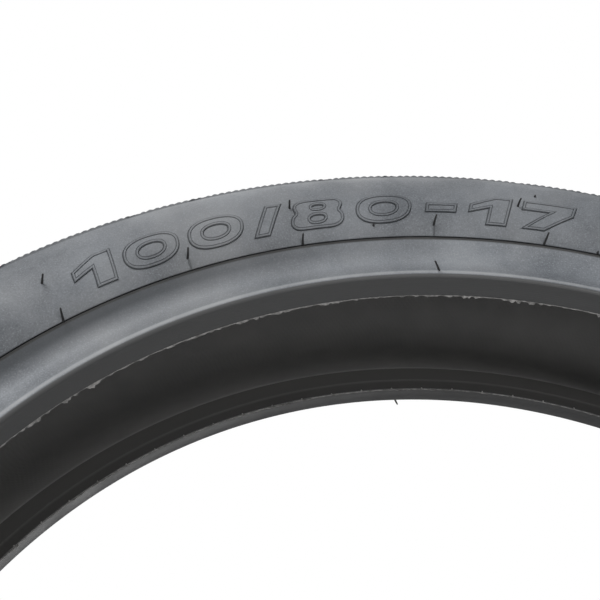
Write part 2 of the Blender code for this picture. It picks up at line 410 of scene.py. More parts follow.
EIGHT_SIDE = (  # shares of half its width and half its height, from the bottom up
    (0.0, -1.0),
    (0.66, -0.985),
    (0.93, -0.78),
    (1.0, -0.46),
    (0.95, -0.12),
    (0.84, 0.09),
    (0.88, 0.29),
    (0.91, 0.53),
    (0.83, 0.8),
    (0.58, 0.985),
    (0.0, 1.0),
)


def eight(width, height):
    """Two stacked bowls that meet at a waist."""
    right = np.array(spline(EIGHT_SIDE, 4)) * (width / 2, height / 2)
    left = right[-2:0:-1] * (-1.0, 1.0)
    holes = [squashed_circle(3.2, 1.5, 2.3, -2.45, 40), squashed_circle(2.5, 0.95, 2.3, 2.95, 40)]
    return np.concatenate([right, left]), holes


def one(width, height):
    top, low = height / 2, -height / 2
    stem = 8.6
    right = width / 2
    left = right - stem
    corners = [(left, low), (right, low), (right, top), (left + 1.6, top), (-right, top - 4.4)]
    return np.array([*corners, (-right, top - 8.4), (left, top - 5.8)]), []


def seven(width, height):
    top, low = height / 2, -height / 2
    side, bar = width / 2, 5.0
    foot = -side + 2.2
    corners = [(foot, low), (foot + 9.4, low), (side, top - bar - 0.6), (side, top), (-side, top)]
    return np.array([*corners, (-side, top - bar), (side - 10.0, top - bar)]), []


def slash(width, height):
    side, top, thick = width / 2, height / 2, 6.6
    return np.array([(-side, -top), (-side + thick, -top), (side, top), (side - thick, top)]), []


def dash(width, height):
    side, top = width / 2, 2.1
    return np.array([(-side, -top), (side, -top), (side, top), (-side, top)]), []


SHAPES = {"0": zero, "1": one, "7": seven, "8": eight, "/": slash, "-": dash}


def character_loops(outline, holes):
    """Nested loops from outside in, each with its height above the skin and its crease."""
    loops = [(shifted_loop(outline, inset), height, crease) for inset, height, crease in EDGE_PROFILE]
    for hole in holes:
        profile = reversed(EDGE_PROFILE)
        loops += [(shifted_loop(hole, -inset), height, crease) for inset, height, crease in profile]
    return loops


def code_loops():
    """The loops of the whole size code. x runs towards smaller turns, and y up from its mid height."""
    loops = []
    x = 0.0
    for character, width, space in CHARACTERS:
        outline, holes = SHAPES[character](width, CODE_HEIGHT)
        for loop, height, crease in character_loops(outline, holes):
            loop = subdivided(loop, 0.8)
            slanted = loop[:, 0] + loop[:, 1] * CODE_SLANT + x + width / 2
            loops.append((np.stack([slanted, loop[:, 1]], -1), height, crease))
        x += width + space
    return loops


def patch_place(flat):
    """The turns and leans of flat patch points."""
    turn = CODE_START - np.degrees(flat[:, 0] / CODE_R)
    lean = (CODE_TOP + CODE_BOTTOM) / 2 - np.degrees(flat[:, 1] / WALL_RADIUS)
    return turn, lean


def patch_flat(turn, lean):
    x = np.radians(CODE_START - np.asarray(turn, float)) * CODE_R
    y = np.radians((CODE_TOP + CODE_BOTTOM) / 2 - np.asarray(lean, float)) * WALL_RADIUS
    return np.stack(np.broadcast_arrays(x, y), -1)


def code_patch(piece):
    """Adds the lettered part of the right sidewall, which fits into its grid."""
    turns = np.arange(round(PATCH_TURNS[0] / STEP), round(PATCH_TURNS[1] / STEP) + 1) * STEP
    leans = np.linspace(*PATCH_LEANS, PATCH_ROWS + 1)
    bottom = patch_flat(turns[::-1], leans[-1])[:-1]
    right = patch_flat(turns[0], leans[::-1])[:-1]
    top = patch_flat(turns, leans[0])[:-1]
    left = patch_flat(turns[-1], leans)[:-1]
    outline = np.concatenate([bottom, right, top, left])

    shapes, heights, creases = zip(*code_loops())
    low, high = outline.min(0) + SPOT_SPACING, outline.max(0) - SPOT_SPACING
    across = np.arange(low[0], high[0], SPOT_SPACING)
    up = np.arange(low[1], high[1], SPOT_SPACING)
    spots = np.stack(np.meshgrid(across, up), -1).reshape(-1, 2)
    spots = clear_of(spots, np.concatenate(shapes), 0.45 * SPOT_SPACING)
    spot_height = np.zeros(len(spots))
    for shape, height in zip(shapes, heights):
        spot_height[within(shape, spots)] = height
    lengths = [len(shape) for shape in shapes]
    flat_edge = np.zeros(len(outline))
    lift = np.concatenate([flat_edge, np.repeat(heights, lengths), spot_height])
    crease = np.concatenate([flat_edge, np.repeat(creases, lengths), np.zeros(len(spots))])
    points, faces = triangulated(outline, shapes, spots)
    turn, lean = patch_place(points)
    y, r = on_skin(lean, lift + waviness(turn, lean))
    number = piece.add(place(turn, -y, r), crease)
    piece.faces += [number[face].tolist() for face in faces]


# ---- The sidewalls ----

WALL_TOP_LEANS = (60.0, 62.0, 65.0, 68.0, 71.0, 74.0, 77.0, 80.0, 83.0, 86.0, 89.0, 91.5)
WALL_FOOT_LEANS = (126.5, 128.2, 129.8, 131.2, 132.4, 133.1)
LINE_DEPTH = 0.9  # of the groove along the rim line


def on_wall_arc(point):
    return abs(math.dist(point, WALL_CENTRE) - WALL_RADIUS) < 0.1


def sidewall():
    """The right sidewall."""
    piece = Piece()
    turn = np.arange(STEPS) * 360.0 / STEPS
    patch_leans = np.linspace(*PATCH_LEANS, PATCH_ROWS + 1)
    leans = [*WALL_TOP_LEANS, *patch_leans, *WALL_FOOT_LEANS]
    rings = []
    for lean in leans:
        fade = smooth_step(lean, 60.0, 66.0) * smooth_step(-lean, -133.0, -128.0)
        y, r = on_skin(np.full(STEPS, lean), waviness(turn, lean) * fade)
        rings.append(piece.add(place(turn, -y, r)))
    first, last = (round(limit / STEP) for limit in PATCH_TURNS)
    outside_patch = np.r_[last:STEPS, 0 : first + 1]
    for near, far, lean in zip(rings, rings[1:], leans):
        if PATCH_LEANS[0] <= lean < PATCH_LEANS[1]:
            piece.rows(near[outside_patch], far[outside_patch])
        else:
            piece.band(near, far)
    code_patch(piece)

    # The rim line groove gets painted shade through its crease
    edge = [(133.5, -0.06, 0.6), (133.8, -0.3, 1.0), (RIM_LINE, -LINE_DEPTH, 1.0)]
    for lean, lift, crease in edge:
        rings.append(piece.ring(*on_right(on_skin(lean, lift)), crease=crease))
    for near, far in zip(rings[-4:], rings[-3:]):
        piece.band(near, far)
    hidden = hidden_side("sidewall_left", on_wall_arc)
    back = piece.turned([on_right(point) for point in hidden[::-1]])
    piece.band(rings[-1], back[0])
    piece.band(back[-1], rings[0])
    return piece


# ---- The tread ----

PITCHES = 20
PITCH = 360.0 / PITCHES
FIRST_GROOVE = 3.2  # turn where a left-hand groove starts
GROOVE_START = 8.0  # lean
GROOVE_RANGE = 49.0
GROOVE_SWEEP = 15.0
GROOVE_BEND = 1.4
GROOVE_WIDTH, GROOVE_TAPER = 5.0, 0.42
GROOVE_DEPTH, GROOVE_END_DEPTH = 3.4, 1.3
GROOVE_WALL = 0.4  # how far in the floor's edge is from the top's
SHORT_GROOVE = (37.0, 57.2)  # leans
SHORT_BEFORE = 6.4  # degrees of turn before the long groove
SHORT_WIDTH, SHORT_DEPTH = 2.6, 1.5
LONG_END = 56.6
TEETH = 540
TOOTH_HEIGHT = 0.6
CELL_SHIFT = 5.8  # degrees of turn from a long groove to the edge of its cell
TREAD_X = 276.0  # flat distance in mm for each radian of turn


def groove_turn(lean):
    """How far round a long groove has swept at this lean."""
    share = np.clip((np.asarray(lean, float) - GROOVE_START) / GROOVE_RANGE, 0.0, None)
    return GROOVE_SWEEP * share**GROOVE_BEND


def groove_depth(lean):
    """The depth of a long groove, which gets shallower towards its outer end."""
    share = np.clip((lean - GROOVE_START) / GROOVE_RANGE, 0.0, 1.0)
    return GROOVE_DEPTH + (GROOVE_END_DEPTH - GROOVE_DEPTH) * share


def tooth_band(lean):
    """1 in the row of teeth and 0 outside it."""
    return smooth_step(lean, 48.5, 53.5) * smooth_step(-lean, -59.6, -55.0)


def tooth_height(turn, lean):
    """The row of small teeth along the shoulder."""
    return TOOTH_HEIGHT * tooth_band(lean) * np.abs(np.sin(np.radians(turn) * TEETH / 2))


def tread_flat(turn, lean):
    x = np.radians(np.asarray(turn, float)) * TREAD_X
    return np.stack(np.broadcast_arrays(x, along_skin(lean)), -1)


def tread_place(flat):
    """The turns and leans of flat tread points."""
    on_crown = flat[:, 1] / CROWN_RADIUS
    change = math.radians(ARC_CHANGE)
    beyond = change + (flat[:, 1] - change * CROWN_RADIUS) / WALL_RADIUS
    lean = np.degrees(np.where(on_crown < change, on_crown, beyond))
    return np.degrees(flat[:, 0] / TREAD_X), lean


def groove_loops(start, end, before, width, taper):
    """The outline and the floor of a groove that follows the sweep, with a round inner end."""
    leans = np.linspace(start, end, 26)
    middle = tread_flat(groove_turn(leans) - before, leans)
    direction = np.gradient(middle, axis=0)
    direction /= np.linalg.norm(direction, axis=1, keepdims=True)
    side = np.stack([-direction[:, 1], direction[:, 0]], -1)
    share = (leans - start) / (end - start)
    loops = []
    for inset in (0.0, GROOVE_WALL):
        half = (width * (1 - taper * share) / 2 - inset)[:, None]
        angles = np.radians(np.arange(20, 180, 20))[:, None]
        cap = middle[0] + half[0] * (side[0] * np.cos(angles) - direction[0] * np.sin(angles))
        line = slice(None) if inset == 0.0 else slice(None, -1)
        left, right = (middle + side * half)[line], (middle - side * half)[line]
        loops.append(np.concatenate([cap, right, left[::-1]]))
    return loops


def tread_cell():
    """One pitch of one side of the tread: turns, leans, depths, faces and its points on the outer edge."""
    edge_leans = np.concatenate([np.linspace(0.0, 45.0, 19), np.linspace(46.0, TREAD_EDGE, 19)])
    edge_turns = groove_turn(edge_leans) + CELL_SHIFT
    centre = np.linspace(0.0, PITCH, 29)[:-1]
    fine = np.linspace(0.0, PITCH, 4 * TEETH // PITCHES + 1)[:-1]
    outer_turn = edge_turns[-1]
    bottom = tread_flat(edge_turns[0] - PITCH + centre, 0.0)
    right = tread_flat(edge_turns, edge_leans)[:-1]
    top = tread_flat(outer_turn - fine, TREAD_EDGE)
    left = tread_flat(edge_turns[::-1] - PITCH, edge_leans[::-1])[:-1]
    outline = np.concatenate([bottom, right, top, left])

    long_loops = groove_loops(GROOVE_START, LONG_END, 0.0, GROOVE_WIDTH, GROOVE_TAPER)
    short_loops = groove_loops(*SHORT_GROOVE, SHORT_BEFORE, SHORT_WIDTH, 0.0)
    loops = [subdivided(loop, 1.1) for loop in (*long_loops, *short_loops)]

    coarse_leans = np.arange(3.0, 45.0, 3.0)
    coarse = [(turn, lean) for lean in coarse_leans for turn in np.arange(-20.0, 30.0, 0.65)]
    rib_leans = np.arange(46.5, TREAD_EDGE - 1.0, 1.9)
    ribs = [(turn, lean) for lean in rib_leans for turn in np.arange(-20.0, 30.0, PITCH / len(fine))]
    spots = np.array(coarse + ribs)
    spots = tread_flat(spots[:, 0], spots[:, 1])
    spots = spots[within(outline, spots)]
    spots = clear_of(spots, outline, 0.5)
    for loop in loops:
        spots = spots[~within(loop, spots)]
        spots = clear_of(spots, loop, 0.6)

    points, faces = triangulated(outline, loops, spots)
    turn, lean = tread_place(points)
    # The points are the outline's, then those of the top and floor of the long groove, then the short one's
    ends = len(outline) + np.cumsum([len(loop) for loop in loops])
    long_floor, short_floor = slice(ends[0], ends[1]), slice(ends[2], ends[3])
    drop = np.zeros(len(points))
    drop[long_floor] = groove_depth(lean[long_floor])
    drop[short_floor] = SHORT_DEPTH
    edge = len(bottom) + len(right) + np.arange(len(top))
    return turn, lean, drop, faces, edge


def on_skin_arc(point):
    return abs(math.dist(point, CROWN_CENTRE) - CROWN_RADIUS) < 0.1 or on_wall_arc(point)


def tread():
    """The tread: both sides' pitches, joined to a smooth underside."""
    piece = Piece()
    turn, lean, drop, faces, edge = tread_cell()
    edge_rings = []
    for side, stagger in ((-1, 0.5), (1, 0.0)):
        ring = []
        for number in range(PITCHES - 1, -1, -1):
            turned = turn + FIRST_GROOVE + PITCH * (number + stagger)
            tooth = tooth_height(turned, lean)
            # The groove floors and the valleys between teeth get painted shade through their crease
            valley_shade = 0.7 * (tooth_band(lean) - tooth / TOOTH_HEIGHT)
            y, r = on_skin(lean, np.where(drop > 0.0, -drop, tooth))
            index = piece.add(place(turned, side * y, r), np.where(drop > 0.0, 1.0, valley_shade))
            piece.faces += [index[face].tolist() for face in faces]
            ring.append(index[edge])
        edge_rings.append(np.concatenate(ring))

    starts = [turn[edge[0]] + FIRST_GROOVE + PITCH * (PITCHES - 1 + stagger) for stagger in (0.5, 0.0)]
    hidden = hidden_side("tread_cap", on_skin_arc)
    under = [(-y, r) for y, r in hidden[::-1]] + hidden
    rings = []
    for y, r in under:
        turns = starts[0 if y < 0 else 1] - np.arange(STEPS) * 360.0 / STEPS
        rings.append(piece.add(place(turns, y, r)))
    middle = len(rings) // 2
    # The two sides start half a pitch apart, so the second is numbered from where the first starts
    ahead = round((starts[0] - starts[1]) * STEPS / 360.0)
    rings[middle:] = [np.roll(ring, ahead) for ring in rings[middle:]]
    for near, far in zip(rings, rings[1:]):
        piece.band(near, far)
    piece.stitch(rings[0], edge_rings[0])
    fine_ahead = ahead * len(edge_rings[1]) // STEPS
    piece.stitch(rings[-1], np.roll(edge_rings[1], fine_ahead))
    return piece


# ---- The rim strips, flash and hairs ----

RIM_LINE_R = float(on_skin(RIM_LINE)[1])
BEAD_FACE_Y = 39.5
HEEL_ROUND = 1.7
HEEL_R = 216.9
FLANGE = (
    (42.2, 237.55),
    (41.8, 237.0),
    (41.2, 235.9),
    (40.5, 234.3),
    (39.8, 232.2),
    (39.2, 229.6),
    (38.95, 226.5),
    (39.1, 223.5),
    (39.5, 220.7),
    (39.6, 219.6),
)
TOE_EDGE_Y = 29.6
TOE_SLOPE = (26.9, 219.3)  # top of the slope from the toe's edge into the cavity
BASE_STEPS = (34.8, 32.4)  # y of the small steps under the bead
STEP_DROP = 0.12


def under_bead():
    """The line from the heel to the toe, with its small steps."""
    line = []
    r = HEEL_R
    for y in BASE_STEPS:
        line += [(y + 0.1, r - 0.25), (y - 0.1, r - 0.25 - STEP_DROP)]
        r -= 0.25 + STEP_DROP
    return [*line, (TOE_EDGE_Y + 0.2, TOE_R), (TOE_EDGE_Y, TOE_R + 0.15), TOE_SLOPE]


def rim_strip():
    """The right rim strip."""
    heel_turns = np.radians(np.linspace(0.0, 90.0, 7))
    heel_y, heel_r = BEAD_FACE_Y - HEEL_ROUND, HEEL_R + HEEL_ROUND
    heel = [(heel_y + HEEL_ROUND * math.cos(a), heel_r - HEEL_ROUND * math.sin(a)) for a in heel_turns]
    flange = spline(FLANGE, 4)[:-1]

    def shown(point):
        return point[1] < HEEL_R + 0.1 or (point[0] > BEAD_FACE_Y - 0.1 and point[1] < RIM_LINE_R + 0.1)

    hidden = hidden_side("rim_strip_left", shown)
    outline = [*flange, *heel, *under_bead(), *hidden[::-1]]
    piece = Piece()
    # The rim line ring gets painted shade through its crease
    line_ring = piece.ring(*on_right(on_skin(RIM_LINE, -LINE_DEPTH)), crease=1.0)
    rings = piece.turned([on_right(point) for point in outline])
    piece.band(line_ring, rings[0])
    piece.band(rings[-1], line_ring)
    return piece


FLASH_STEPS = 1620
FLASH_ROOT = (TOE_EDGE_Y + 0.15, TOE_R + 0.12)
FLASH_DIRECTION = (-0.55, -0.83)  # of the fin as (y, r)
FLASH_SECTION = (  # offset (y, r) from the root, and whether the point is at the torn tip
    (0.14, 0.0, False),
    (0.10, 0.0, True),
    (-0.02, 0.08, True),
    (-0.18, 0.2, False),
)
FLASH_REACH = (0.1, 1.9)
TATTERS = 110
LONGEST_TATTER = 5  # steps
LAST_TATTER = FLASH_STEPS - 8
TOE_NUBS = 98
TOE_NUB_LENGTH, TOE_NUB_RADIUS = 0.9, 0.4


def torn_reach(rng):
    """How far the fin along a toe reaches at each of its steps."""
    angle = np.radians(np.arange(FLASH_STEPS) * 360.0 / FLASH_STEPS)
    slow = sum(np.sin(k * angle + rng.uniform(0, 6.3)) / k for k in range(3, 14))
    torn = np.repeat(rng.uniform(0.0, 1.0, FLASH_STEPS // 2), 2) ** 3
    reach = 0.35 + 0.2 * slow + 0.6 * torn
    for start in rng.choice(LAST_TATTER, TATTERS, replace=False):
        length = rng.integers(2, LONGEST_TATTER + 1)
        reach[start : start + length] += rng.uniform(0.2, 1.3) * rng.uniform(0.4, 1.0, length)
    return np.clip(reach, *FLASH_REACH)


def toe_flash(seed, nubs):
    """The thin torn fin of rubber along the right toe, with a row of nubs if nubs is true."""
    rng = np.random.default_rng(seed)
    reach = torn_reach(rng)
    turn = np.arange(FLASH_STEPS) * 360.0 / FLASH_STEPS
    piece = Piece()
    rings = []
    for offset_y, offset_r, torn in FLASH_SECTION:
        y = FLASH_ROOT[0] + offset_y + FLASH_DIRECTION[0] * reach * torn
        r = FLASH_ROOT[1] + offset_r + FLASH_DIRECTION[1] * reach * torn
        rings.append(piece.add(place(turn, -y, r)))
    for near, far in zip(rings, rings[1:] + rings[:1]):
        piece.band(near, far)
    foot = (-TOE_EDGE_Y, TOE_R + 0.2)
    for number in range(TOE_NUBS if nubs else 0):
        turn = number * 360.0 / TOE_NUBS
        stand(piece, turn, foot, (0.75, 0.2), TOE_NUB_LENGTH, TOE_NUB_RADIUS, rng)
    return piece


def stand(piece, turn, foot, direction, length, radius, rng, sideways=0.0):
    """A thin round stub of rubber on a section point. It leans and bends a little at random."""
    angle = math.radians(turn)
    around = Vector((-math.sin(angle), 0.0, math.cos(angle)))
    out = Vector((math.cos(angle) * direction[1], direction[0], math.sin(angle) * direction[1]))
    base = Vector((math.cos(angle) * foot[1], foot[0], math.sin(angle) * foot[1])) * MM
    sway = sideways + rng.uniform(-0.12, 0.12)
    bend = rng.uniform(-0.1, 0.1)
    path = []
    radii = []
    for share in (-0.3 / length, 0.05, 0.35, 0.65, 0.93, 1.0):
        aside = sway * share + bend * share * share
        path.append(base + (out * share + around * aside) * length * MM)
        radii.append(radius * (1.0 - 0.3 * share) if share < 1.0 else radius * 0.35)
    piece.tube(path, radii)


class HairRow(NamedTuple):
    """Hairs at even steps of turn, given on the left side."""

    foot: tuple  # section point (y, r)
    first: float  # turn
    pitch: float
    count: int
    length: float
    direction: tuple  # (y, r)
    sideways: float

    def turns(self):
        return [self.first + self.pitch * k for k in range(self.count)]


LOWER_HAIRS = HairRow(on_skin(124.2), -61.1, 25.0, 14, 5.4, (0.98, 0.05), 0.0)
HAIR_ROWS = (
    HairRow(on_skin(133.6), -70.5, 24.7, 14, 6.4, (0.96, 0.12), 0.0),
    LOWER_HAIRS,
    HairRow(on_skin(100.0), 102.8, 24.1, 7, 5.0, (0.99, -0.1), 0.0),
    HairRow(on_skin(101.3), 80.5, -25.0, 7, 5.0, (0.99, -0.1), 0.0),
    HairRow((39.3, 220.4), 88.9, 360.0 / 7, 7, 6.6, (0.9, -0.1), 0.35),
)
HAIR_RADIUS = 0.5
NUBS = ((123.6, 95.0), (87.0, 78.8), (132.8, 72.3), (84.0, 131.0), (118.0, 60.0))  # lean, turn
NUB_LENGTH = 1.0
RIDGE_LEANS = (124.4, 127.0, 129.5, 131.5, 133.2)
RIDGE_RADII = (0.3, 0.42, 0.45, 0.4, 0.3)
RIDGE_LIFT = 0.05
# How much painted shade the crease puts on the vent ridges
RIDGE_CREASE = 0.7
HAIR_SEED = 5


def vent_hairs():
    """The hairs that the mould's air holes leave on the right side."""
    piece = Piece()
    rng = np.random.default_rng(HAIR_SEED)
    for row in HAIR_ROWS:
        for turn in row.turns():
            length = row.length * rng.uniform(0.85, 1.15)
            foot, direction = on_right(row.foot), on_right(row.direction)
            stand(piece, turn, foot, direction, length, HAIR_RADIUS, rng, row.sideways)
    for lean, turn in NUBS:
        stand(piece, turn, on_right(on_skin(lean)), (-1.0, 0.0), NUB_LENGTH, HAIR_RADIUS, rng)
    return piece


def vent_ridges():
    """The faint ridges from the lower hairs down to the rim line."""
    piece = Piece()
    line = [on_right(on_skin(lean, RIDGE_LIFT)) for lean in RIDGE_LEANS]
    for turn in LOWER_HAIRS.turns():
        piece.tube([Vector(place(turn, *point)[0]) for point in line], RIDGE_RADII, crease=RIDGE_CREASE)
    return piece


# ---- The liner and the hidden layers ----


def liner():
    """The liner, with its corners rounded towards the cavity."""
    line = cad_section("inner_liner", one_side=True)
    sides = [line[: len(line) // 2], line[len(line) // 2 :][::-1]]
    cavity, outer = sorted(sides, key=lambda side: side[0][1])
    whole = [[(-y, r) for y, r in side[::-1]] + side for side in (cavity, outer)]
    piece = Piece()
    piece.turned([*rounded(whole[0], 5), *whole[1][::-1]], closed=True)
    return piece


def round_layer(node):
    piece = Piece()
    piece.turned(cad_section(node), HIDDEN_STEPS, closed=True)
    return piece


# ---- Materials ----


class Shader:
    """A Principled material and short calls for the nodes that feed it. Sizes in its textures are in mm."""

    def __init__(self, name, roughness=0.6, metallic=0.0):
        self.material = bpy.data.materials.new(name)
        self.material.use_nodes = True
        self.tree = self.material.node_tree
        self.surface = self.tree.nodes["Principled BSDF"]
        self.surface.inputs["Roughness"].default_value = roughness
        self.surface.inputs["Metallic"].default_value = metallic
        self.where = self.node("ShaderNodeTexCoord").outputs["Object"]

    def node(self, kind, **values):
        made = self.tree.nodes.new(kind)
        for key, value in values.items():
            setattr(made, key, value)
        return made

    def link(self, value, socket):
        if isinstance(value, bpy.types.NodeSocket):
            self.tree.links.new(value, socket)
        else:
            socket.default_value = value

    def noise(self, size, detail=3.0, rough=0.55):
        node = self.node("ShaderNodeTexNoise")
        self.link(self.where, node.inputs["Vector"])
        node.inputs["Scale"].default_value = 1.0 / (size * MM)
        node.inputs["Detail"].default_value = detail
        node.inputs["Roughness"].default_value = rough
        return node.outputs["Fac"]

    def math(self, operation, *values):
        node = self.node("ShaderNodeMath", operation=operation)
        for socket, value in zip(node.inputs, values):
            self.link(value, socket)
        return node.outputs[0]

    def spread(self, value, low, high, new_low=0.0, new_high=1.0):
        """The value rescaled from one range to another, and kept in it."""
        node = self.node("ShaderNodeMapRange")
        for socket, number in zip(node.inputs, (value, low, high, new_low, new_high)):
            self.link(number, socket)
        return node.outputs["Result"]

    def blend(self, share, first, second):
        node = self.node("ShaderNodeMix", data_type="RGBA")
        self.link(share, node.inputs["Factor"])
        for socket, value in zip(("A", "B"), (first, second)):
            self.link(value, [i for i in node.inputs if i.name == socket and i.type == "RGBA"][0])
        return [o for o in node.outputs if o.type == "RGBA"][0]

    def parts(self):
        """x, y and z of the place, in millimetres."""
        scale = self.node("ShaderNodeVectorMath", operation="SCALE")
        self.link(self.where, scale.inputs["Vector"])
        scale.inputs["Scale"].default_value = 1.0 / MM
        node = self.node("ShaderNodeSeparateXYZ")
        self.link(scale.outputs[0], node.inputs[0])
        return node.outputs

    def attribute(self, name):
        node = self.node("ShaderNodeAttribute", attribute_name=name)
        return node.outputs["Fac"]

    def stripes(self, value, spacing, phase=0.0):
        """A sine of the value that repeats at this spacing."""
        return self.math("SINE", self.math("MULTIPLY_ADD", value, 2 * math.pi / spacing, phase))

    def between(self, value, rise, fall):
        """1 between two slopes and 0 outside them. Each slope is given as its 0 and its 1."""
        return self.math("MULTIPLY", self.spread(value, *rise), self.spread(value, *fall))

    def radius(self):
        """The distance from the axle, in millimetres."""
        x, _, z = self.parts()
        squares = self.math("ADD", self.math("MULTIPLY", x, x), self.math("MULTIPLY", z, z))
        return self.math("SQRT", squares)

    def turn(self):
        """The angle round the axle, in radians."""
        x, _, z = self.parts()
        return self.math("ARCTAN2", z, x)

    def bump(self, height, distance, strength=1.0, under=None):
        node = self.node("ShaderNodeBump")
        self.link(height, node.inputs["Height"])
        node.inputs["Distance"].default_value = distance * MM
        node.inputs["Strength"].default_value = strength
        if under:
            self.link(under, node.inputs["Normal"])
        return node.outputs["Normal"]

    def finish(self, colour=None, roughness=None, normal=None):
        for value, name in ((colour, "Base Color"), (roughness, "Roughness"), (normal, "Normal")):
            if value is not None:
                self.link(value, self.surface.inputs[name])
        return self.material


def grey(level, tint=0.0):
    """A grey, warmer for a positive tint and cooler for a negative one."""
    return (level * (1.0 + tint), level, level * (1.0 - 1.3 * tint), 1.0)


RUBBER_LAYERS = ((16.0, 3.0, 0.7), (5.0, 4.0, 0.7), (0.7, 2.0, 1.5))  # size in mm, detail, strength
CREASE_SHADE = 0.55


def rubber(name, dark, light, roughness, bloom_strength=0.5):
    """Cured rubber: cloudy bloom, fine grain, uneven sheen and painted shade along creases."""
    shader = Shader(name, roughness)
    level = shader.spread(shader.noise(46.0, 3.0, 0.5), 0.36, 0.66)
    for size, detail, strength in RUBBER_LAYERS:
        noise = shader.math("SUBTRACT", shader.noise(size, detail, 0.6), 0.5)
        level = shader.math("ADD", level, shader.math("MULTIPLY", noise, strength))
    colour = shader.blend(shader.spread(level, -0.2, 1.2), grey(dark, -0.085), grey(light, -0.06))
    bloom = shader.spread(shader.noise(60.0, 4.0, 0.55), 0.46, 0.66, 0.0, bloom_strength)
    colour = shader.blend(bloom, colour, grey(light * 1.25, -0.02))
    specks = shader.spread(shader.noise(0.6, 1.0), 0.55, 0.74, 0.0, 0.3)
    colour = shader.blend(specks, colour, grey(light * 1.7, -0.05))
    # Painted shade: the crease attribute darkens grooves, creases and the valleys between teeth
    crease = shader.math("MULTIPLY", shader.attribute(CREASE), CREASE_SHADE)
    colour = shader.blend(crease, colour, grey(dark * 0.25, -0.05))
    sheen = shader.spread(shader.noise(18.0, 3.0), 0.35, 0.7, roughness - 0.07, roughness + 0.09)
    normal = shader.bump(shader.noise(0.4, 2.0), 0.05, 0.5)
    normal = shader.bump(shader.noise(5.0, 3.0), 0.12, 0.35, normal)
    return shader, colour, sheen, normal


def sidewall_rubber():
    shader, colour, sheen, normal = rubber("sidewall_rubber", 0.11, 0.245, 0.52)
    return shader.finish(colour, sheen, normal)


def tread_rubber():
    shader, colour, sheen, normal = rubber("tread_rubber", 0.098, 0.15, 0.62, 0.1)
    return shader.finish(colour, sheen, normal)


# Where the bead's painted shades and painted highlight start and end, as radii, or as distances from the
# middle plane for the cavity
LIP_SHADE = (226.2, 234.0)
RIM_GROOVE_SHADE = (236.6, 237.1)
DIM_RISE, DIM_FALL = (220.0, 220.6), (225.5, 221.5)
HEEL_HIGHLIGHT_RISE, HEEL_HIGHLIGHT_FALL = (218.6, 219.2), (220.4, 219.8)
UNDER_BEAD = (218.1, 218.7)
CAVITY_WALL = (27.6, 27.0)
CAVITY_EDGE = (TOE_EDGE_Y - 0.3, TOE_EDGE_Y - 0.1)
LIP_SHADE_SIDE = (20.0, -120.0)  # x, from unshaded to painted shade
SCORING = 0.9  # spacing of the fine rings under the bead


def bead_rubber():
    """Grey outside, with a painted highlight along the heel and painted shade on the lip, in the rim line
    groove, above the heel, under the bead and in the cavity.
    """
    shader, colour, sheen, normal = rubber("bead_rubber", 0.15, 0.30, 0.5)
    radius = shader.radius()
    x, y, _ = shader.parts()
    # Painted shade on the lip under the rim line, heavier towards -x, where the lip faces away from the key
    # light
    painted_light_mask = shader.spread(x, *LIP_SHADE_SIDE, 0.08, 0.85)
    lip = shader.math("MULTIPLY", shader.spread(radius, *LIP_SHADE), painted_light_mask)
    colour = shader.blend(lip, colour, grey(0.045, -0.10))
    # Painted shade on a band of the flange above the heel, where the surface tilts from the light
    dim = shader.math("MULTIPLY", shader.between(radius, DIM_RISE, DIM_FALL), 0.2)
    colour = shader.blend(dim, colour, grey(0.06, -0.05))
    # Painted highlight along the heel's rounding, broken up by noise
    painted_light_mask = shader.spread(shader.noise(9.0), 0.3, 0.7, 0.35, 0.85)
    heel_highlight = shader.math("MULTIPLY", shader.between(radius, HEEL_HIGHLIGHT_RISE, HEEL_HIGHLIGHT_FALL), painted_light_mask)
    colour = shader.blend(heel_highlight, colour, grey(0.40, -0.02))
    # Painted shade in the rim line groove
    colour = shader.blend(shader.spread(radius, *RIM_GROOVE_SHADE), colour, grey(0.03))
    # The bead base under the heel is painted darker, a painted shade on the side that faces the axle
    colour = shader.blend(shader.spread(radius, *UNDER_BEAD), grey(0.085, -0.01), colour)
    # Painted shade: the toe slope inside the cavity is painted darker
    across = shader.math("ABSOLUTE", y)
    cavity = shader.blend(shader.spread(across, *CAVITY_WALL), grey(0.045, 0.02), grey(0.075, 0.02))
    outside = shader.spread(across, *CAVITY_EDGE)
    colour = shader.blend(outside, cavity, colour)
    shine = shader.spread(outside, 0.0, 1.0, 0.08, 0.5)
    shader.link(shine, shader.surface.inputs["Specular IOR Level"])
    normal = shader.bump(shader.stripes(y, SCORING), 0.03, 0.4, normal)
    return shader.finish(colour, sheen, normal)


LATTICE_LINES, LATTICE_SPACING = 720.0, 2.2  # round a full turn, and across


def liner_rubber():
    """Dark grey, with the fine diagonal lattice of the curing bladder."""
    shader = Shader("liner_rubber", 0.62)
    turn, across = shader.turn(), shader.parts()[1]
    phase = shader.math("MULTIPLY", turn, LATTICE_LINES)
    lines = [shader.stripes(across, spacing, phase) for spacing in (LATTICE_SPACING, -LATTICE_SPACING)]
    lattice = shader.math("MAXIMUM", *lines)
    colour = shader.blend(shader.noise(30.0, 3.0), grey(0.17), grey(0.24, 0.02))
    normal = shader.bump(lattice, 0.04, 0.4)
    normal = shader.bump(shader.noise(1.2, 3.0), 0.08, 0.5, normal)
    return shader.finish(colour, shader.spread(shader.noise(12.0), 0.3, 0.7, 0.52, 0.7), normal)


def hair_rubber():
    """Black rubber with no bloom."""
    shader = Shader("hair_rubber", 0.5)
    colour = shader.blend(shader.noise(1.5, 3.0), grey(0.02), grey(0.05))
    return shader.finish(colour, normal=shader.bump(shader.noise(0.5), 0.05, 0.5))


